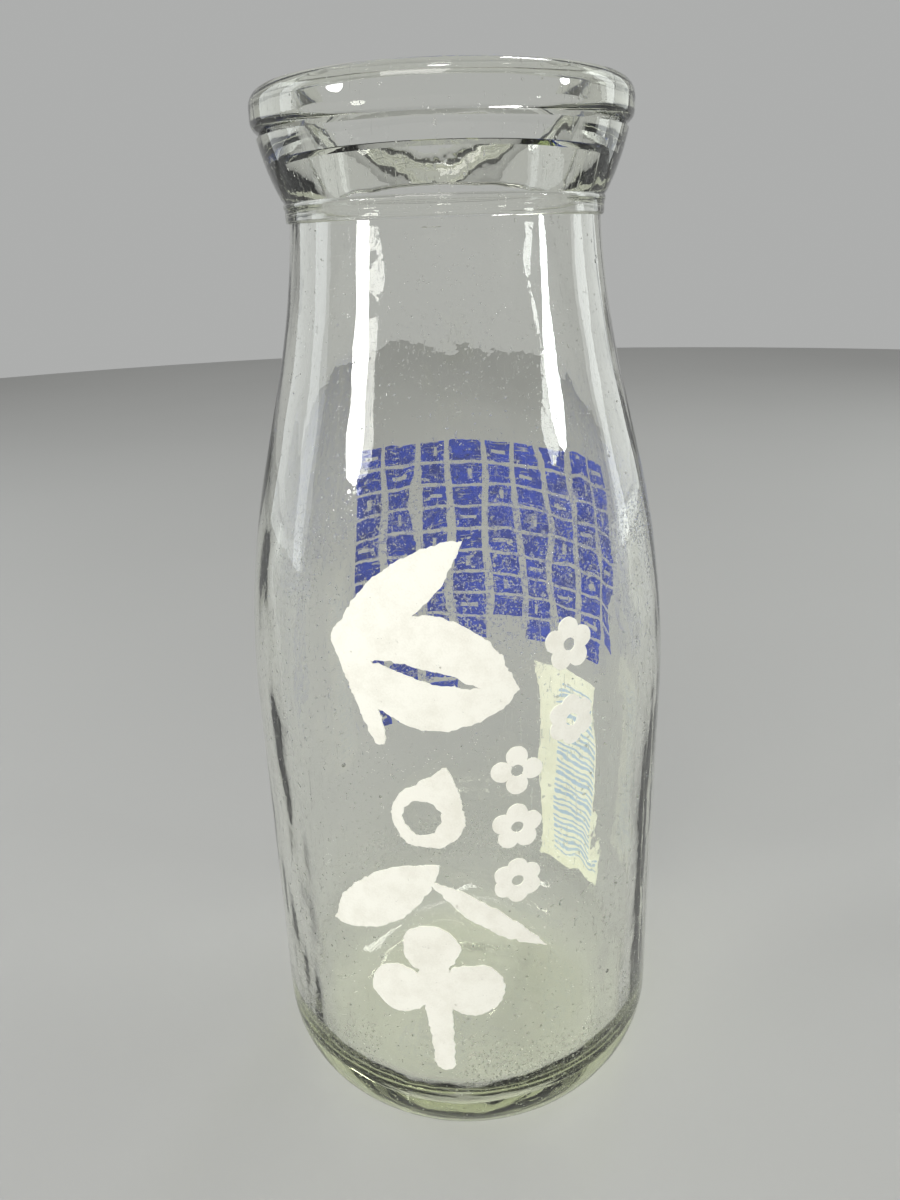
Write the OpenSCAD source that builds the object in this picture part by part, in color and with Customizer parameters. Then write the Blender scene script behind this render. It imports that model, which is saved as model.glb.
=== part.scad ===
// Returnable glass milk bottle with fired enamel prints. Millimetres.
// The origin is on the axis at the foot, +Z runs up to the mouth, and the front print faces -Y.

/* [Bottle] */
// Height from the foot to the top of the lip
height = 138; // [134:0.5:142]
// Outside diameter of the straight body
body_d = 57; // [56:0.5:58]
// Thickness of the glass in the body and the shoulder
wall = 3; // [2.6:0.1:3.4]
// Radius of the heel, where the body turns under to the foot
heel_r = 12.5; // [11:0.5:14]
// Distance from the top of the lip down to the end of the straight body
shoulder_drop = 75; // [72:0.5:78]
// Radius of the convex curve at the bottom of the shoulder
convex_r = 128; // [120:1:136]
// Radius of the concave curve that runs up into the neck
concave_r = 118; // [110:1:126]
// Slope of the straight stretch between the two shoulder curves, from upright
shoulder_slope = 14.4; // [14.2:0.1:14.6]
// Length of the straight stretch between the two shoulder curves
slope_length = 10; // [9:0.5:11]

/* [Finish] */
// Outside diameter of the bead round the lip
bead_d = 44.6; // [44.2:0.1:45]
// Height of the bead
bead_h = 4.7; // [4.5:0.1:5]
// Distance from the top of the lip down to the mould joint at the bottom of the finish
finish_h = 14.3; // [14:0.1:14.8]
// Distance from the top of the lip down to the bottom of the tapered collar
collar_drop = 12.2; // [12:0.1:12.6]
// Diameter of the plain ring under the collar
neck_ring_d = 38.3; // [38.1:0.1:38.7]
// Diameter of the seat for the pull-off cap
cap_seat_d = 34.2; // [34:0.1:34.4]
// Depth of the ledge that the cap rests on
cap_seat_depth = 6.6; // [6.2:0.1:7]
// Diameter of the throat just below the ledge
throat_d = 32.6; // [32.2:0.1:33]

/* [Base] */
// Thickness of the glass at the middle of the base
base_t = 5.5; // [4.5:0.5:6.5]
// Height of the push-up under the base
push_up = 1.8; // [1:0.2:2.4]
// Width of the flat ring that the bottle stands on
foot_ring_w = 2.5; // [2:0.25:3]
// Radius of the inner corner between the floor and the wall
inner_heel_r = 9; // [8:0.5:10]

/* [Prints] */
// Thickness of the fired enamel
enamel_t = 0.2; // [0.1:0.05:0.25]
// Rows of tiles in the short columns of the back print
short_rows = 8; // [6:1:9]
// Rows of tiles in the long columns of the back print
long_rows = 13; // [10:1:14]
// Number of bars on the white panel
bar_count = 28; // [12:1:28]

/* [Hidden] */

$fn = 96;
body_r = body_d / 2;
bead_r = bead_d / 2;
neck_ring_r = neck_ring_d / 2;
cap_seat_r = cap_seat_d / 2;
throat_r = throat_d / 2;
straight_top_z = height - shoulder_drop;
neck_z = height - finish_h;
ledge_z = height - cap_seat_depth;

// Colours
clear_glass = [0.82, 0.92, 0.86, 0.45];
white_enamel = [0.93, 0.93, 0.87];
blue_enamel = [0.13, 0.22, 0.58];
pale_blue_enamel = [0.62, 0.72, 0.86];

// Points on an arc about centre c, from angle a0 to angle a1 in n steps
function on_circle(c, r, a) = c + r * [cos(a), sin(a)];
function arc(c, r, a0, a1, n) = [for (i = [0:n]) on_circle(c, r, a0 + (a1 - a0) * i / n)];
function reversed(list) = [for (i = [len(list) - 1:-1:0]) list[i]];

// Outline of the shoulder as [radius, height], from the straight body up to the neck. An inset
// gives the parallel outline inside the glass.
convex_c = [body_r - convex_r, straight_top_z];
slope_dir = [-sin(shoulder_slope), cos(shoulder_slope)];
slope_out = [cos(shoulder_slope), sin(shoulder_slope)];
concave_c = convex_c + convex_r * slope_out + slope_length * slope_dir + concave_r * slope_out;
function neck_angle(inset, top_z) = asin((concave_c[1] - top_z) / (concave_r + inset));
function shoulder(inset, top_z) = concat(
    arc(convex_c, convex_r - inset, 0, shoulder_slope, 14),
    arc(concave_c, concave_r + inset, 180 + shoulder_slope, 180 + neck_angle(inset, top_z), 10));

// Outside of the glass, from the middle of the base to the top of the lip
foot_out_r = body_r - heel_r;
foot_in_r = foot_out_r - foot_ring_w;
push_up_r = (foot_in_r * foot_in_r + push_up * push_up) / (2 * push_up);
push_up_half = asin(foot_in_r / push_up_r);
under_base = arc([0, push_up - push_up_r], push_up_r, 90, 90 - push_up_half, 8);
heel = arc([foot_out_r, heel_r], heel_r, -90, 0, 16);

// The collar swells a little between the neck ring and the crease under the bead
crease_in = 0.6;
crease_down = 0.5;
collar_low = [neck_ring_r, height - collar_drop];
collar_high = [bead_r - crease_in, height - bead_h - crease_down];
collar_chord = collar_high - collar_low;
collar_curve_r = 26;
collar_lean = atan2(collar_chord[1], collar_chord[0]);
collar_half = asin(norm(collar_chord) / 2 / collar_curve_r);
collar_inward = [-sin(collar_lean), cos(collar_lean)];
collar_c = (collar_low + collar_high) / 2 + collar_curve_r * cos(collar_half) * collar_inward;
collar_start = collar_lean - 90 - collar_half;
collar = arc(collar_c, collar_curve_r, collar_start, collar_start + 2 * collar_half, 6);

bead_top_r = 2.1;
bead_low_r = 1.3;
bead_low_start = -75;
lip_in_r = 0.9;
bead = concat(
    arc([bead_r - bead_low_r, height - bead_h + bead_low_r], bead_low_r, bead_low_start, 0, 6),
    arc([bead_r - bead_top_r, height - bead_top_r], bead_top_r, 0, 90, 9));
lip = arc([cap_seat_r + lip_in_r, height - lip_in_r], lip_in_r, 90, 180, 6);

outside = concat(under_base, heel, shoulder(0, neck_z), [[neck_ring_r, neck_z]], collar, bead);

// Inside of the glass, from the ledge down to the middle of the floor. The throat tapers from the
// ledge down to the neck.
throat_edge = 0.4;
floor_z = push_up + base_t;
inner_heel_c = [body_r - wall - inner_heel_r, floor_z - push_up / 2 + inner_heel_r];
inner_heel = arc(inner_heel_c, inner_heel_r, 0, -90, 10);
throat = [[cap_seat_r, ledge_z], [throat_r + throat_edge, ledge_z], [throat_r, ledge_z - throat_edge]];
inside = concat(throat, reversed(shoulder(wall, neck_z)), inner_heel, [[0, floor_z]]);

module glass_bottle() {
    color(clear_glass) rotate_extrude($fn = 180) polygon(concat(outside, lip, inside));
}

// The enamel lies on the outside of the glass as a thin skin
skin_low_z = heel_r;
skin_high_z = 98;
module enamel_skin() {
    face = concat([[body_r, skin_low_z]], shoulder(0, skin_high_z));
    back = [for (p = face) p + [enamel_t, 0]];
    rotate_extrude($fn = 180) polygon(concat(face, reversed(back)));
}

// Fires a flat drawing on to the glass. x runs round to the right and y runs up from the foot.
fired_reach = body_r + 2;
module fired(turn) {
    intersection() {
        enamel_skin();
        rotate([0, 0, turn]) rotate([90, 0, 0]) linear_extrude(fired_reach) children();
    }
}

// A leaf with pointed ends, lying along x from the origin
module leaf(length, width) {
    curve_r = (length * length + width * width) / (4 * width);
    half = asin(length / 2 / curve_r);
    below = arc([length / 2, curve_r - width / 2], curve_r, -90 - half, -90 + half, 12);
    above = arc([length / 2, width / 2 - curve_r], curve_r, 90 - half, 90 + half, 12);
    polygon(concat(below, [for (i = [1:len(above) - 2]) above[i]]));
}

// A brush stroke that is round at both ends and changes width between them
module stroke(from, from_r, to, to_r) {
    run = norm(to - from);
    lean = atan2(to[1] - from[1], to[0] - from[0]);
    side = acos((from_r - to_r) / run);
    start_end = arc(from, from_r, lean + side, lean + 360 - side, 14);
    far_end = arc(to, to_r, lean - side, lean + side, 10);
    polygon(concat(start_end, far_end));
}

// Upper mark: a sprig with a slim leaf, a broad leaf with a vein, and a short stem
module leaf_print() {
    color(white_enamel) fired(0) {
        translate([-10.6, 79]) rotate(38) leaf(19.4, 6);
        difference() {
            translate([-9.6, 78.4]) rotate(-14) leaf(21, 13.5);
            translate([-6.4, 77.4]) rotate(-14) leaf(13.5, 1.5);
        }
        stroke([-9.2, 79.2], 1.9, [-5.4, 67.6], 0.9);
    }
}

// Middle mark: a drop of milk with a round highlight
module drop_print() {
    color(white_enamel) fired(0) difference() {
        stroke([0, 57.4], 4.5, [2.4, 63.6], 0.5);
        translate([-0.7, 57.3]) circle(2.5);
    }
}

// Lower mark: a clover under two drooping blades of grass
module clover_print() {
    color(white_enamel) fired(0) {
        translate([1.2, 50.6]) rotate(219) leaf(19.2, 7);
        translate([-0.4, 48.6]) rotate(-39.5) leaf(19, 3);
        translate([-0.4, 37.6]) circle(3.7);
        translate([-4.7, 30.6]) circle(3.9);
        translate([4.9, 31.2]) circle(4.1);
        stroke([0, 33.4], 2, [1, 18.8], 1.3);
    }
}

// Small five-petalled, four-petalled and six-petalled blossoms, in two columns beside the big marks
petal_reach = 1.86;
petal_r = 1.34;
blossom_eye_r = 0.77;
upper_column_turn = 36;
lower_column_turn = 21.7;
module blossom(petals, turn, z) {
    color(white_enamel) fired(turn) translate([0, z]) difference() {
        for (i = [0:petals - 1])
            rotate(90 + i * 360 / petals) translate([petal_reach, 0]) circle(petal_r);
        circle(blossom_eye_r);
    }
}

// Back print: columns of plain tiles, some of them with a slot
tile_w = 4.6;
tile_h = 3.3;
tile_pitch = 3.9;
column_count = 9;
column_turn = 12.6;
first_column_turn = 221;
tiles_top_z = 92;
level_slot = [2.76, 0.7];
upright_slot = [0.8, 1.8];
long_column_count = 3;
module tile(kind) {
    difference() {
        square([tile_w, tile_h], center = true);
        if (kind == 0) square(level_slot, center = true);
        if (kind == 2) square(upright_slot, center = true);
    }
}
module tile_column(rows, first_kind) {
    for (j = [0:rows - 1])
        translate([0, tiles_top_z - tile_h / 2 - j * tile_pitch]) tile((first_kind + 3 * j) % 4);
}
function column_rows(i) = i < long_column_count ? long_rows : short_rows + i % 2;
module back_tiles_print() {
    color(blue_enamel) for (i = [0:column_count - 1])
        fired(first_column_turn - i * column_turn) tile_column(column_rows(i), i);
}

// White panel at the back with a stack of thin bars let into it
panel_turn = 141.5;
panel_w = 16.2;
panel_low_z = 15;
panel_high_z = 53.5;
bar_w = 11.6;
bar_x = -1.6;
bar_pitch = 1.2;
bar_h = 0.4;
bar_h_step = 0.15;
bars_low_z = 17.6;
module bars() {
    for (i = [0:bar_count - 1])
        translate([bar_x - bar_w / 2, bars_low_z + i * bar_pitch])
            square([bar_w, bar_h + bar_h_step * (i * 5 % 3)]);
}
module panel_print() {
    color(white_enamel) fired(panel_turn) difference() {
        translate([-panel_w / 2, panel_low_z]) square([panel_w, panel_high_z - panel_low_z]);
        bars();
    }
}
module panel_bars() {
    color(pale_blue_enamel) fired(panel_turn) bars();
}

glass_bottle();
leaf_print();
drop_print();
clover_print();
blossom(5, upper_column_turn, 77.8);  // blossom_print_1
blossom(6, upper_column_turn, 68.4);  // blossom_print_2
blossom(4, lower_column_turn, 63.2);  // blossom_print_3
blossom(5, lower_column_turn, 55.4);  // blossom_print_4
blossom(6, lower_column_turn, 47.6);  // blossom_print_5
back_tiles_print();
panel_print();
panel_bars();
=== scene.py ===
# %% [markdown]
# # A returnable milk bottle in thick moulded glass
#
# The bottle is one piece of glass with enamel prints fired on to it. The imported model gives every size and
# place, and this script gives the looks: smooth heavy glass, chalky white enamel, blue enamel on the back,
# and the small marks of years of washing and refilling.

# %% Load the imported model
import math

import bpy
from mathutils import Matrix, Vector


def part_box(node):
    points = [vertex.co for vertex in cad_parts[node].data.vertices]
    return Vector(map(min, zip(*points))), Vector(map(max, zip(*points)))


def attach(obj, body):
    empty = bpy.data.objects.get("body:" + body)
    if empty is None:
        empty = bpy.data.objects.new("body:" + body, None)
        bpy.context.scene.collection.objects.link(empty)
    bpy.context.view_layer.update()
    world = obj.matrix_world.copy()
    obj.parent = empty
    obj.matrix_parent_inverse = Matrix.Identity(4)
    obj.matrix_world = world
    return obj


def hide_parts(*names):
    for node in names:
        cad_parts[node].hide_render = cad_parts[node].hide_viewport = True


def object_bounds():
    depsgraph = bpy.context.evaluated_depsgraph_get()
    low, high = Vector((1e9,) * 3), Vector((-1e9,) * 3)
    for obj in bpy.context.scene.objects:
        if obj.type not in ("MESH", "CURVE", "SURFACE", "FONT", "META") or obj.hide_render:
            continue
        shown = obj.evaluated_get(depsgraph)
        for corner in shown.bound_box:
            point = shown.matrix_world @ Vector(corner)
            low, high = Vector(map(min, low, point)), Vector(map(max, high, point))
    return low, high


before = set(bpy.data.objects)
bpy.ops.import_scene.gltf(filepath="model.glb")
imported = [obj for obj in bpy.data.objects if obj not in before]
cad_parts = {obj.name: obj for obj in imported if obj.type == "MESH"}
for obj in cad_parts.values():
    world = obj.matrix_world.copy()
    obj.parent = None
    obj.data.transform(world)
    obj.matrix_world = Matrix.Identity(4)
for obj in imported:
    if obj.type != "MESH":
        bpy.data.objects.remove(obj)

cad_low, cad_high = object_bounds()
mm = 0.001
print("CAD box in mm:", [round(side / mm, 2) for side in cad_high - cad_low])

# %% [markdown]
# ## Camera
#
# The bottle is looked at from close by with a wide lens, from a little above the lip, so the mouth shows as
# a wide ellipse and the body narrows towards the foot. A longer lens from further off would be easier to
# aim, but it would lose both. The camera leans a little to one side, as a hand-held one does, and it stands
# a few degrees to the right of the print's middle. Its matrix is worked out once from those angles.

# %% Camera
camera_azimuth = math.radians(8.5)
camera_distance = 122.7 * mm
camera_drop = 16.5 * mm
camera_pitch = math.radians(21.1)
camera_yaw = math.radians(0.42)
camera_roll = math.radians(-1.88)

bpy.ops.object.select_all(action="DESELECT")
bpy.ops.object.camera_add()
camera = bpy.context.object
camera.name = "camera"
camera.data.lens = 28
camera.data.sensor_width = 36
camera.data.clip_start = 1 * mm
camera.data.clip_end = 20
camera_place = Vector((
    camera_distance * math.sin(camera_azimuth),
    -camera_distance * math.cos(camera_azimuth),
    cad_high.z - camera_drop,
))
camera.matrix_world = (
    Matrix.Translation(camera_place)
    @ Matrix.Rotation(camera_azimuth + camera_yaw, 4, "Z")
    @ Matrix.Rotation(math.pi / 2 - camera_pitch, 4, "X")
    @ Matrix.Rotation(camera_roll, 4, "Z")
)
bpy.context.scene.camera = camera
print("camera at", [round(c / mm, 1) for c in camera_place], "mm")

# %% [markdown]
# ## Floor
#
# Clear glass shows only what it bends and mirrors, so it needs something even behind it. A wide pale round
# floor does: its far edge stands so far off that it reads as a plain horizon from every side.

# %% Floor
floor_radius = 1.0
floor_middle = (0, 0, cad_low.z)
bpy.ops.object.select_all(action="DESELECT")
bpy.ops.mesh.primitive_circle_add(vertices=96, radius=floor_radius, fill_type="NGON", location=floor_middle)
floor = bpy.context.object
floor.name = "floor"
bpy.ops.object.transform_apply()
print("floor:", 2 * floor_radius, "m across")

# %% [markdown]
# ## Light
#
# A big soft box above the front lights the enamel, and a fill box low in front keeps the lower marks bright.
# The fill would draw a grey patch on the glass, so reflections don't see it. Four small round lamps leave
# the sharp glints. A glint on a bottle is a long upright streak, because the body is straight upwards and
# curved sideways, and its place depends mostly on the lamp's bearing. On each side of the bottle, a wide soft
# box and a narrow one put the broad pale streaks along its edges.
#
# A rectangle of light that is seen through clear glass looks like a hole in it, so the soft boxes light the
# bottle and are mirrored in it, but only the round lamps are seen through it. No light is seen directly.


# %% A light that shines on the bottle
def studio_light(name, turn, rise, away, width, height, radiance, colour=(1, 1, 1), shape="RECTANGLE"):
    """A flat light that faces the bottle. Turn goes round from the front, and rise is up from level."""
    turn, rise = math.radians(turn), math.radians(rise)
    middle = Vector((0, 0, 0.1))
    towards = Vector((math.sin(turn) * math.cos(rise), -math.cos(turn) * math.cos(rise), math.sin(rise)))
    bpy.ops.object.select_all(action="DESELECT")
    bpy.ops.object.light_add(type="AREA", location=middle + away * towards)
    light = bpy.context.object
    light.name = name
    light.data.shape = shape
    light.data.size = width
    light.data.size_y = height
    light.data.energy = math.pi * width * height * radiance
    light.data.color = colour
    light.rotation_euler = (-towards).to_track_quat("-Z", "Y").to_euler()
    light.visible_camera = False
    light.visible_transmission = shape == "ELLIPSE"
    return light


# %% The lights
warm = (1.0, 0.985, 0.95)
cool = (0.93, 0.98, 1.0)
greenish = (0.95, 1.0, 0.98)

studio_light("key", -8, 41, 0.95, 0.60, 0.38, 5.6, warm)
fill = studio_light("fill", 14, 10, 0.95, 0.60, 0.40, 2.3, warm)
fill.visible_glossy = False

studio_light("left_lamp", -53, 12.5, 0.9, 0.20, 0.10, 22, (1.0, 1.0, 0.98), "ELLIPSE")
studio_light("right_lamp", 80, 12.5, 0.9, 0.13, 0.08, 22, (0.97, 1.0, 1.0), "ELLIPSE")
studio_light("top_lamp", 10, 68, 0.9, 0.16, 0.14, 14, shape="ELLIPSE")
studio_light("back_lamp", 165, 52, 0.9, 0.14, 0.14, 14, shape="ELLIPSE")

studio_light("left_wide", -99, 14, 0.7, 0.50, 0.60, 1.5, cool)
studio_light("left_core", -88, 14, 0.68, 0.12, 0.55, 2.2, cool)
studio_light("right_wide", 128, 14, 0.7, 0.44, 0.60, 1.4, greenish)
studio_light("right_core", 118, 14, 0.68, 0.10, 0.55, 2.4, greenish)

# %% [markdown]
# ## Surround
#
# The rest of the room is one even grey. A picture of a room would give livelier reflections, but it would
# also put shapes into the glass that belong to that room. The colours go out through the standard view
# transform, so the white enamel stays white.

# %% Surround
surround_grey = (0.42, 0.425, 0.42, 1)
world = bpy.data.worlds.new("surround")
bpy.context.scene.world = world
world.use_nodes = True
world.node_tree.nodes["Background"].inputs["Color"].default_value = surround_grey
world.node_tree.nodes["Background"].inputs["Strength"].default_value = 1.0
bpy.context.scene.view_settings.view_transform = "Standard"
print("surround:", surround_grey[:3])


# %% [markdown]
# ## How the finishes are written
#
# A finish is a small tree of shader nodes. The sums in it are easier to read as sums, so a number that
# varies over a surface is wrapped in a class whose operators add the Math nodes.

# %% Sums on surface values
class Varying:
    """A value that changes over a surface. A sum on it adds a Math node to its finish."""

    def __init__(self, finish, socket):
        self.finish = finish
        self.socket = socket

    def sum(self, operation, first, second):
        return self.finish.node("ShaderNodeMath", {"operation": operation}, {0: first, 1: second})

    def __add__(self, other):
        return self.sum("ADD", self, other)

    __radd__ = __add__

    def __sub__(self, other):
        return self.sum("SUBTRACT", self, other)

    def __rsub__(self, other):
        return self.sum("SUBTRACT", other, self)

    def __mul__(self, other):
        return self.sum("MULTIPLY", self, other)

    __rmul__ = __mul__


# %% [markdown]
# ### One method for every other node
#
# Every node that isn't a sum is made by one method, which takes its type, its settings and what goes into
# its sockets. The few kinds that these finishes use often, such as noise, a ramp or a bump, get a short name
# on top of it. All patterns start from Object coordinates, so they are in metres and stay put on the bottle.

# %% A finish
class Finish:
    """A material that is put together node by node."""

    def __init__(self, name):
        self.material = bpy.data.materials.new(name)
        self.material.use_nodes = True
        self.tree = self.material.node_tree
        self.tree.nodes.clear()
        self.output = self.tree.nodes.new("ShaderNodeOutputMaterial")
        self.place = self.node("ShaderNodeTexCoord", output="Object")

    def node(self, kind, settings=None, inputs=None, output=0):
        made = self.tree.nodes.new(kind)
        for name, value in (settings or {}).items():
            if name == "stops":
                set_stops(made.color_ramp, value)
            else:
                setattr(made, name, value)
        for name, value in (inputs or {}).items():
            if isinstance(value, Varying):
                self.tree.links.new(value.socket, made.inputs[name])
            else:
                made.inputs[name].default_value = value
        return Varying(self, made.outputs[output])

    def noise(self, scale, detail=2.0, roughness=0.5, place=None):
        inputs = {"Vector": place or self.place, "Scale": scale, "Detail": detail, "Roughness": roughness}
        return self.node("ShaderNodeTexNoise", inputs=inputs)

    def stretched(self, x, y, z):
        return self.node("ShaderNodeMapping", inputs={"Vector": self.place, "Scale": (x, y, z)})

    def ramp(self, value, *stops):
        return self.node("ShaderNodeValToRGB", {"stops": stops}, {"Fac": value})

    def step(self, value, low, high):
        """0 where value is below low, 1 where it is above high, and smooth between."""
        inputs = {"Value": value, "From Min": low, "From Max": high}
        return self.node("ShaderNodeMapRange", {"interpolation_type": "SMOOTHSTEP"}, inputs)

    def bump(self, height, distance, normal=None):
        inputs = {"Height": height, "Distance": distance}
        if normal:
            inputs["Normal"] = normal
        return self.node("ShaderNodeBump", inputs=inputs)

    def finish_surface(self, shader):
        self.tree.links.new(shader.socket, self.output.inputs["Surface"])
        return self.material


def set_stops(ramp, stops):
    """Gives a colour ramp its two stops, each (position, colour)."""
    for element, (position, colour) in zip(ramp.elements, stops):
        element.position = position
        element.color = (*colour, 1)


# %% [markdown]
# ### The floor's finish
#
# The floor is a painted board. One flat colour would look like a hole in the picture, so broad soft clouds
# make it a shade lighter and darker.

# %% Floor finish
def pale_board():
    f = Finish("pale_board")
    cloud = f.noise(3, 3)
    colour = f.ramp(cloud, (0.3, (0.37, 0.37, 0.362)), (0.7, (0.395, 0.395, 0.387)))
    paint = f.node("ShaderNodeBsdfPrincipled", inputs={"Base Color": colour, "Roughness": 0.6})
    return f.finish_surface(paint)


floor.data.materials.append(pale_board())
print("floor finish:", floor.data.materials[0].name)

# %% [markdown]
# ## The glass
#
# A bottle is blown in a mould, and it is round, so it is a turned shape: one outline spun about the axis. It
# could also be lofted from rings, but a spun outline keeps every arc true. Its sizes are those of the packed
# model, whose box gives the height and the body's radius.

# %% Sizes of the glass
glass_top_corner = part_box("glass_bottle")[1]
height = glass_top_corner.z
body_r = glass_top_corner.x
wall = 3.0 * mm
heel_r = 12.5 * mm
straight_top = height - 75 * mm
convex_r = 128 * mm
concave_r = 118 * mm
slope = math.radians(14.4)
slope_length = 10 * mm
neck_top = height - 14.3 * mm
neck_ring_r = 19.15 * mm
collar_z = height - 12.2 * mm
collar_r = 26 * mm
collar_inset = 0.6 * mm
collar_gap = 0.5 * mm
bead_r = 22.3 * mm
bead_h = 4.7 * mm
seat_r = 17.1 * mm
seat_depth = 6.6 * mm
throat_r = 16.3 * mm
push_up = 1.8 * mm
base_t = 5.5 * mm
foot_ring_w = 2.5 * mm
inner_heel_r = 9 * mm
print("glass:", round(height / mm, 1), "mm high,", round(2 * body_r / mm, 1), "mm across")


# %% [markdown]
# ### Arcs
#
# Nearly every part of the outline is round, so one helper gives the points of an arc, close enough together
# that smooth shading hides the corners between them.

# %% Arcs
def arc(centre, radius, start, end, count):
    """Points along an arc in the plane of the outline, with angles in degrees."""
    turns = [math.radians(start + (end - start) * i / count) for i in range(count + 1)]
    return [Vector((centre[0] + radius * math.cos(t), centre[1] + radius * math.sin(t))) for t in turns]


# %% [markdown]
# ### The shoulder
#
# The body runs into the neck in one long S: an arc that leans in, a short slope and an arc that straightens
# up again. The inside of the glass follows the same S one wall further in, so a function gives both.

# %% Shoulder
convex_c = Vector((body_r - convex_r, straight_top))
outward = Vector((math.cos(slope), math.sin(slope)))
upward = Vector((-math.sin(slope), math.cos(slope)))
concave_c = convex_c + (convex_r + concave_r) * outward + slope_length * upward


def shoulder(inset):
    """The long S from the straight body to the neck, moved into the glass by inset."""
    neck_turn = math.degrees(math.asin((concave_c.y - neck_top) / (concave_r + inset)))
    low = arc(convex_c, convex_r - inset, 0, math.degrees(slope), 30)
    high = arc(concave_c, concave_r + inset, 180 + math.degrees(slope), 180 + neck_turn, 20)
    return low + high


neck_r = shoulder(0)[-1].x
print("neck:", round(2 * neck_r / mm, 1), "mm across at the ring")

# %% [markdown]
# ### Foot and heel
#
# The bottle stands on a narrow flat ring. Inside the ring the base is pushed up in a shallow dome, so that a
# bump in the middle can't make the bottle rock. Outside it the round heel takes the knocks of the crate.

# %% Foot and heel
foot_out = body_r - heel_r
foot_in = foot_out - foot_ring_w
push_up_r = (foot_in ** 2 + push_up ** 2) / (2 * push_up)
push_up_half = math.degrees(math.asin(foot_in / push_up_r))
under_base = arc((0, push_up - push_up_r), push_up_r, 90, 90 - push_up_half, 10)
heel = arc((foot_out, heel_r), heel_r, -90, 0, 24)
print("foot ring:", round(2 * foot_in / mm, 1), "to", round(2 * foot_out / mm, 1), "mm across")

# %% [markdown]
# ### Collar
#
# The collar spreads from the neck ring to the bead in one shallow hollow arc. The arc is fixed by its two
# ends and its radius, so its centre is worked out from the middle of the chord between the ends.

# %% Collar
collar_low = Vector((neck_ring_r, collar_z))
collar_high = Vector((bead_r - collar_inset, height - bead_h - collar_gap))
chord = collar_high - collar_low
lean = math.degrees(math.atan2(chord.y, chord.x))
half = math.degrees(math.asin(chord.length / 2 / collar_r))
inward = Vector((-math.sin(math.radians(lean)), math.cos(math.radians(lean))))
collar_c = (collar_low + collar_high) / 2 + collar_r * math.cos(math.radians(half)) * inward
collar = arc(collar_c, collar_r, lean - 90 - half, lean - 90 + half, 12)
print("collar:", round(chord.length / mm, 1), "mm long, leaning", round(90 - lean), "degrees out")

# %% [markdown]
# ### Bead, lip and mould lines
#
# The bead is the thick rounded ring that a hood grips, and the lip rolls over into the cap seat. The neck
# and the collar are formed by other mould parts than the body, and where such parts meet they leave a fine
# raised line. The lines could be bumps in the finish, but light passes through glass twice and shows every
# real ridge, so they are in the outline: a rounded edge under the ring, and a low ridge at the foot of the
# collar.

# %% Bead, lip and mould lines
bead_low_r = 1.3 * mm
bead_top_r = 2.1 * mm
lip_r = 0.9 * mm
bead = arc((bead_r - bead_low_r, height - bead_h + bead_low_r), bead_low_r, -75, 0, 8)
bead += arc((bead_r - bead_top_r, height - bead_top_r), bead_top_r, 0, 90, 12)
lip = arc((seat_r + lip_r, height - lip_r), lip_r, 90, 180, 8)

edge_r = 0.4 * mm
joint_r = 0.6 * mm
joint_proud = 0.15 * mm
joint_drop = 0.2 * mm
joint_half_angle = 41
ring_edge = arc((neck_ring_r - edge_r, neck_top + edge_r), edge_r, -90, 0, 6)
joint_c = (neck_ring_r + joint_proud - joint_r, collar_z - joint_drop)
joint_line = arc(joint_c, joint_r, -joint_half_angle, joint_half_angle, 6)
outside = under_base + heel + shoulder(0) + ring_edge + joint_line + collar[1:] + bead + lip
print("outside points:", len(outside))

# %% [markdown]
# ### Inside
#
# Below the lip a straight seat takes a paper cap, which rests on a narrow ledge. Under the ledge the throat
# narrows a little, and then the wall follows the outside down to a rounded inner heel. The floor of the
# bottle is much thicker than its wall, and highest in the middle.

# %% Inside
floor_top = push_up + base_t
ledge = height - seat_depth
throat_edge = 0.4 * mm
floor_middle_r = 8 * mm
floor_dish = 0.25 * mm
inner_heel_c = (body_r - wall - inner_heel_r, floor_top - push_up / 2 + inner_heel_r)
inside = [
    Vector((seat_r, ledge)),
    Vector((throat_r + throat_edge, ledge)),
    Vector((throat_r, ledge - throat_edge)),
]
inside += shoulder(wall)[::-1]
inside += arc(inner_heel_c, inner_heel_r, 0, -90, 18)
inside += [Vector((floor_middle_r, floor_top - floor_dish)), Vector((0, floor_top))]
print("inside points:", len(inside))


# %% [markdown]
# ### Spinning the outline
#
# The outline is drawn as by hand: a plane is merged to one point, the point is extruded along the outline,
# and the line is spun about the axis. The seam and the two poles are then merged, so the shell is closed.

# %% Picking and editing
def pick(piece):
    """Makes a piece the only selected one, and the active one."""
    bpy.ops.object.select_all(action="DESELECT")
    piece.select_set(True)
    bpy.context.view_layer.objects.active = piece


def edit(piece):
    """Opens a piece in edit mode with nothing selected."""
    pick(piece)
    bpy.ops.object.mode_set(mode="EDIT")
    bpy.ops.mesh.select_all(action="DESELECT")


def done():
    """Leaves edit mode."""
    bpy.ops.object.mode_set(mode="OBJECT")


# %% Spinning
shortest_step = 0.001 * mm
merge_reach = 0.0005 * mm


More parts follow.
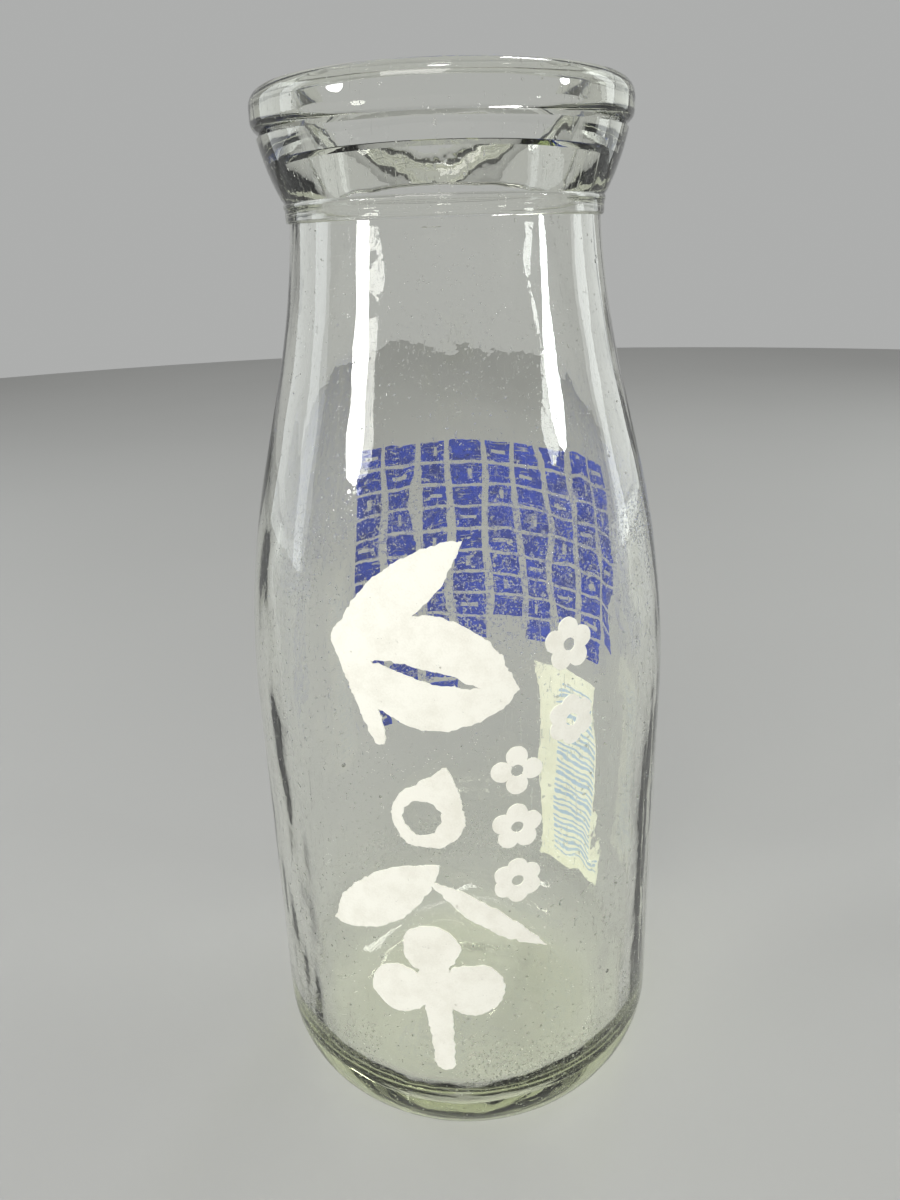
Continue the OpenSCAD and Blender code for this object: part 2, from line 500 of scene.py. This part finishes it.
def turned(name, outline, steps):
    """Extrudes one point along the outline and spins the line about the axis."""
    bpy.ops.object.select_all(action="DESELECT")
    bpy.ops.mesh.primitive_plane_add(size=1 * mm, location=(0, 0, 0))
    piece = bpy.context.object
    piece.name = name
    bpy.ops.object.mode_set(mode="EDIT")
    bpy.ops.mesh.select_all(action="SELECT")
    bpy.ops.mesh.merge(type="CENTER")
    bpy.ops.transform.translate(value=(outline[0].x, 0, outline[0].y))
    for here, there in zip(outline, outline[1:]):
        step = there - here
        if step.length > shortest_step:
            bpy.ops.mesh.extrude_region_move(TRANSFORM_OT_translate={"value": (step.x, 0, step.y)})
    bpy.ops.mesh.select_all(action="SELECT")
    bpy.ops.mesh.spin(steps=steps, angle=2 * math.pi, center=(0, 0, 0), axis=(0, 0, 1))
    bpy.ops.mesh.select_all(action="SELECT")
    bpy.ops.mesh.remove_doubles(threshold=merge_reach)
    bpy.ops.mesh.normals_make_consistent(inside=False)
    done()
    return piece


glass = turned("bottle_glass", outside + inside, 180)
print("glass faces:", len(glass.data.polygons))

# %% [markdown]
# ### Waves inside the glass
#
# The mould gives the outside its true shape, but the inside is only blown, so it is never quite even. That
# is what makes the lines in a bottle waver. A soft cloud pattern pushes the inner wall in and out by up to a
# fifth of a millimetre. A vertex group keeps the outside and the cap seat as the mould made them, and lets
# the waves fade in below the ledge.

# %% Which points are on the inner wall
inner_limit_r = body_r - 2.2 * mm
base_clear = 1 * mm
still_below_ledge = 2 * mm
fade_length = 8 * mm

inner_reach = {}
for vertex in glass.data.vertices:
    radius = math.hypot(vertex.co.x, vertex.co.y)
    below_seat = ledge - still_below_ledge - vertex.co.z
    inside_out = radius < inner_limit_r and vertex.co.z > floor_top - base_clear
    faces_axis = vertex.co.z < straight_top or vertex.normal.dot(vertex.co.xy.to_3d()) < 0
    if inside_out and below_seat > 0 and faces_axis:
        inner_reach[vertex.index] = min(1, below_seat / fade_length)
print("inner wall points:", len(inner_reach))

# %% Uneven inner wall
wave_size = 14 * mm
wave_height = 0.42 * mm

pick(glass)
inner_wall = glass.vertex_groups.new(name="inner_wall")
for index, weight in inner_reach.items():
    inner_wall.add([index], weight, "REPLACE")

waves = bpy.data.textures.new("waves", "CLOUDS")
waves.noise_scale = wave_size
waves.noise_depth = 1
blown = glass.modifiers.new("blown", "DISPLACE")
blown.texture = waves
blown.vertex_group = "inner_wall"
blown.mid_level = 0.5
blown.strength = wave_height
bpy.ops.object.modifier_apply(modifier="blown")
print("waves:", round(wave_height / 2 / mm, 2), "mm in and out")

# %% [markdown]
# ### Seeds in the glass
#
# Soda glass keeps a few seeds, gas bubbles a few tenths of a millimetre across, caught in the middle of the
# wall. Each one is a hollow in the glass, so it is a small ball whose faces look inwards. A fixed turn from
# each to the next scatters them without chance.

# %% Seeds
seed_count = 14
seed_turn = math.radians(137.5)
first_seed_z = 16 * mm
seed_rise = 3.3 * mm
smallest_seed_r = 0.12 * mm
seed_r_step = 0.05 * mm
seed_place_r = body_r - wall / 2

edit(glass)
for number in range(seed_count):
    turn = seed_turn * number
    level = first_seed_z + seed_rise * number
    place = (seed_place_r * math.sin(turn), -seed_place_r * math.cos(turn), level)
    seed_r = smallest_seed_r + seed_r_step * (number % 4)
    bpy.ops.mesh.select_all(action="DESELECT")
    bpy.ops.mesh.primitive_uv_sphere_add(segments=12, ring_count=8, radius=seed_r, location=place)
    bpy.ops.mesh.flip_normals()
done()
bpy.ops.object.shade_smooth_by_angle(angle=math.radians(38))
print("glass faces with the seeds:", len(glass.data.polygons))


# %% [markdown]
# ### The glass's finish
#
# Clear soda glass has a faint yellow-green cast that only shows where light travels far inside it: in the
# foot, the heel and round the lip. So the colour is in the glass and not on it. Years of crates leave two
# rings of fine scuffs where bottles touch, and specks and short scratches elsewhere. The mould's two halves
# leave a hair-fine seam up each side.
#
# A path tracer lets no lamp shine straight through a refracting shell, and enamel on the far side would stay
# dark. So rays that only ask whether a lamp is in view pass through the glass as through a clear pane.

# %% Wear on the glass
def glass_wear(f, z):
    """Scuffs in two rings, specks and scratches, from 0 where the glass is clean to about 1."""
    upper_ring = f.step(z, 74 * mm, 80 * mm) * (1 - f.step(z, 86 * mm, 96 * mm))
    lower_ring = f.step(z, 11 * mm, 14 * mm) * (1 - f.step(z, 18 * mm, 25 * mm))
    patchy = f.step(f.noise(60, 3), 0.46, 0.64)
    specks = f.step(f.noise(2600, 2, 0.6), 0.60, 0.66)
    few_specks = f.step(f.noise(1500, 2, 0.6), 0.69, 0.73)
    scratches = f.step(f.noise(1, 3, 0.6, f.stretched(3000, 3000, 260)), 0.66, 0.70)
    scuffed = (upper_ring + lower_ring) * patchy * specks
    return scuffed * 0.8 + few_specks * 0.7 + scratches * 0.2


# %% Glass finish
def milk_bottle_glass():
    f = Finish("milk_bottle_glass")
    y, z = (f.node("ShaderNodeSeparateXYZ", inputs={"Vector": f.place}, output=axis) for axis in "YZ")
    worn = glass_wear(f, z)
    ripple = f.noise(1, 2, 0.5, f.stretched(90, 90, 30))
    orange_peel = f.noise(420, 2)
    from_seam = f.node("ShaderNodeMath", {"operation": "ABSOLUTE"}, {0: y})
    seam_line = 1 - f.step(from_seam, 0.05 * mm, 0.45 * mm)
    skin = f.bump(orange_peel, 0.01 * mm, f.bump(ripple, 0.35 * mm))
    glass_shader = f.node("ShaderNodeBsdfPrincipled", inputs={
        "Base Color": (1, 1, 1, 1),
        "Roughness": 0.01 + worn * 0.8,
        "IOR": 1.52,
        "Transmission Weight": 1.0,
        "Normal": f.bump(seam_line * 0.8 - worn, 0.03 * mm, skin),
    })
    cast = f.node("ShaderNodeVolumeAbsorption", inputs={"Color": (0.72, 0.83, 0.12, 1), "Density": 12.0})
    f.tree.links.new(cast.socket, f.output.inputs["Volume"])
    shadow_ray = f.node("ShaderNodeLightPath", output="Is Shadow Ray")
    clear_pane = f.node("ShaderNodeBsdfTransparent", inputs={"Color": (0.95, 0.95, 0.95, 1)})
    either = f.node("ShaderNodeMixShader", inputs={0: shadow_ray, 1: glass_shader, 2: clear_pane})
    return f.finish_surface(either)


glass.data.materials.append(milk_bottle_glass())
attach(glass, "root")
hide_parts("glass_bottle")
print("glass finish:", glass.data.materials[0].name)


# %% [markdown]
# ## The enamel prints
#
# Each colour is a paste of ground glass, squeezed through a screen on to the bottle and fired until it melts
# on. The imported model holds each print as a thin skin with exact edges. A real print's edge wanders a
# little, and its face follows the glass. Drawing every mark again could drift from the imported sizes, so the
# outer face of each skin is copied and worked on instead.

# %% The outer face of a packed skin
outward_share = 0.6


def outer_face(name, node):
    """A new piece with the outer face of a packed skin."""
    piece = bpy.data.objects.new(name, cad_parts[node].data.copy())
    bpy.context.scene.collection.objects.link(piece)
    piece.data.materials.clear()
    edit(piece)
    bpy.ops.mesh.customdata_custom_splitnormals_clear()
    bpy.ops.mesh.select_all(action="SELECT")
    bpy.ops.mesh.remove_doubles(threshold=0.002 * mm)
    bpy.ops.mesh.select_mode(type="FACE")
    bpy.ops.mesh.select_all(action="DESELECT")
    done()
    for face in piece.data.polygons:
        out = Vector((face.center.x, face.center.y, 0)).normalized()
        face.select = face.normal.dot(out) < outward_share
    bpy.ops.object.mode_set(mode="EDIT")
    bpy.ops.mesh.delete(type="FACE")
    bpy.ops.mesh.select_mode(type="VERT")
    done()
    return piece


# %% [markdown]
# ### A net over each print
#
# The copied face has points only along its edges, and its middle couldn't bend with the glass. Level planes
# and upright planes through the axis cut it into a net of small faces, as a sheet of squared paper would lie
# on it.

# %% Cutting a net
def piece_box(piece):
    """The lowest and highest corner of a piece."""
    corners = [v.co for v in piece.data.vertices]
    low = Vector([min(c[i] for c in corners) for i in range(3)])
    high = Vector([max(c[i] for c in corners) for i in range(3)])
    return low, high


def cut(point, normal):
    """Cuts the piece in edit mode along a plane."""
    bpy.ops.mesh.select_all(action="SELECT")
    bpy.ops.mesh.bisect(plane_co=point, plane_no=normal)


def cut_net(piece, spacing):
    """Cuts a piece by level planes and by upright planes through the axis."""
    low, high = piece_box(piece)
    turns = [math.atan2(v.co.x, -v.co.y) % (2 * math.pi) for v in piece.data.vertices]
    if max(turns) - min(turns) > math.pi:
        turns = [t if t < math.pi else t - 2 * math.pi for t in turns]
    edit(piece)
    level = low.z + spacing / 2
    while level < high.z:
        cut((0, 0, level), (0, 0, 1))
        level += spacing
    turn = min(turns) + spacing / body_r / 2
    while turn < max(turns):
        cut((0, 0, 0), (math.cos(turn), math.sin(turn), 0))
        turn += spacing / body_r
    done()


# %% [markdown]
# ### Wandering edges
#
# The screen's threads let the paste creep, so an edge bends and is nibbled. Noise in the finish could hide
# parts of the edge but couldn't move it. So two cloud patterns move the points of the net along the glass: a
# broad one that bends the outline, and a fine one that nibbles at it.

# %% Wandering edges
bend_size = 2.4 * mm
nibble_size = 0.6 * mm


def creep(piece, size, amount):
    """Moves the points of a piece sideways and up and down by cloud patterns."""
    pick(piece)
    for direction, pattern_size in (("X", size), ("Z", size * 1.13)):
        clouds = bpy.data.textures.new("creep", "CLOUDS")
        clouds.noise_scale = pattern_size
        clouds.noise_depth = 1
        creeping = piece.modifiers.new("creeping", "DISPLACE")
        creeping.texture = clouds
        creeping.direction = direction
        creeping.strength = amount
        bpy.ops.object.modifier_apply(modifier="creeping")


# %% [markdown]
# ### Thickness
#
# The net is laid on the glass a little above it and then given a thickness that reaches a little way in.
# Enamel melts into the glass, so a skin that only touched it would leave a gap of air where light gets lost.

# %% Laying a print on the glass
enamel_clear = 0.12 * mm
enamel_sunk = 0.05 * mm


def face_outwards(piece):
    """Turns every face of a piece to point outwards."""
    edit(piece)
    bpy.ops.mesh.select_all(action="SELECT")
    bpy.ops.mesh.normals_make_consistent(inside=False)
    done()


def wrap_on_glass(piece):
    """Lays a net on the glass and gives it its thickness."""
    pick(piece)
    wrapping = piece.modifiers.new("wrapping", "SHRINKWRAP")
    wrapping.target = glass
    wrapping.wrap_mode = "ABOVE_SURFACE"
    wrapping.offset = enamel_clear
    bpy.ops.object.modifier_apply(modifier="wrapping")
    face_outwards(piece)
    thick = piece.modifiers.new("thick", "SOLIDIFY")
    thick.thickness = enamel_clear + enamel_sunk
    thick.offset = -1
    bpy.ops.object.modifier_apply(modifier="thick")
    face_outwards(piece)
    bpy.ops.object.shade_smooth_by_angle(angle=math.radians(50))


def printed(name, node, spacing, bend, nibble):
    """One print, from its packed skin to a finished skin on the glass."""
    piece = outer_face(name, node)
    cut_net(piece, spacing)
    if bend:
        creep(piece, bend_size, bend)
    creep(piece, nibble_size, nibble)
    wrap_on_glass(piece)
    low, high = piece_box(piece)
    print(name, len(piece.data.polygons), "faces, z", round(low.z / mm, 1), "to", round(high.z / mm, 1))
    return piece


# %% [markdown]
# ### Enamel finishes
#
# Fired enamel is opaque and has a soft sheen like eggshell. The white is warm and a little uneven, thinner
# in places, with pinholes where a bubble burst in the kiln. The blue is a deep ultramarine that washing has
# worn into flecks and level streaks, and the bars on the panel are a paler blue. All three are the same
# paste in other colours, so one function makes them, and holes are left clear by the finish and not cut into
# the piece.

# %% Enamel finishes
pinhole_low = 0.71


def enamel(name, thin, full, gaps=None):
    """A fired colour. It goes from thin to full, with pinholes and with gaps where the colour is gone."""
    f = Finish(name)
    cloud = f.noise(330, 4, 0.6)
    grain = f.noise(4200, 2, 0.6)
    colour = f.ramp(cloud * 0.7 + grain * 0.3, (0.36, thin), (0.56, full))
    bare = f.step(f.noise(1200, 3, 0.65), pinhole_low, pinhole_low + 0.02)
    if gaps:
        bare = bare.sum("MAXIMUM", bare, gaps(f))
    enamel_shader = f.node("ShaderNodeBsdfPrincipled", inputs={
        "Base Color": colour,
        "Roughness": 0.34 + cloud * 0.2,
        "Alpha": 1 - bare,
        "Normal": f.bump(grain + cloud, 0.02 * mm),
    })
    return f.finish_surface(enamel_shader)


def washed_off(f):
    """Bare flecks and level streaks where years of washing took the colour off the back."""
    flecks = f.step(f.noise(1300, 3, 0.6), 0.57, 0.61)
    streaks = f.step(f.noise(1, 2, 0.5, f.stretched(260, 260, 3400)), 0.60, 0.66)
    return flecks.sum("MAXIMUM", flecks, streaks * 0.8)


enamels = {
    "white_enamel": enamel("white_enamel", (0.80, 0.785, 0.70), (0.88, 0.87, 0.79)),
    "blue_enamel": enamel("blue_enamel", (0.006, 0.020, 0.24), (0.012, 0.045, 0.48), washed_off),
    "pale_blue_enamel": enamel("pale_blue_enamel", (0.34, 0.45, 0.66), (0.45, 0.56, 0.76)),
}
print("enamels:", ", ".join(enamels))


# %% [markdown]
# ### The white marks on the front
#
# The front carries three large brush-like marks, a leaf sprig, a milk drop and a clover, one above the
# other. They are printed through a coarse screen, so their edges both bend and are nibbled. Their net is
# fine enough to follow that.

# %% The large marks
def put_on(piece, slot, node):
    """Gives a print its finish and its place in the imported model."""
    piece.data.materials.append(enamels[slot])
    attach(piece, "root")
    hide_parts(node)


brush_bend = 0.6 * mm
brush_nibble = 0.5 * mm
for mark, spacing in (("leaf", 0.3 * mm), ("drop", 0.25 * mm), ("clover", 0.3 * mm)):
    node = f"{mark}_print"
    put_on(printed(f"{mark}_enamel", node, spacing, brush_bend, brush_nibble), "white_enamel", node)

# %% [markdown]
# ### The small blossoms
#
# Five blossoms stand in two columns beside the large marks. They are only a few millimetres across, and a
# bend as strong as on the large marks would crush their petals, so their edges are only nibbled.

# %% The small blossoms
blossom_count = 5
blossom_nibble = 0.12 * mm
for number in range(1, blossom_count + 1):
    node = f"blossom_print_{number}"
    put_on(printed(f"blossom_enamel_{number}", node, 0.3 * mm, 0, blossom_nibble), "white_enamel", node)

# %% [markdown]
# ### The prints on the back
#
# The back has a block of blue tiles and a white panel with pale blue bars let into it. They are ruled work
# with straight edges, so their net can be coarse and their edges hardly wander.

# %% The tiles, the panel and its bars
back_prints = (
    ("tiles_enamel", "back_tiles_print", 1.0 * mm, 0.15 * mm, "blue_enamel"),
    ("panel_enamel", "panel_print", 1.2 * mm, 0.1 * mm, "white_enamel"),
    ("bars_enamel", "panel_bars", 1.2 * mm, 0.1 * mm, "pale_blue_enamel"),
)
for name, node, spacing, nibble, slot in back_prints:
    put_on(printed(name, node, spacing, 0, nibble), slot, node)
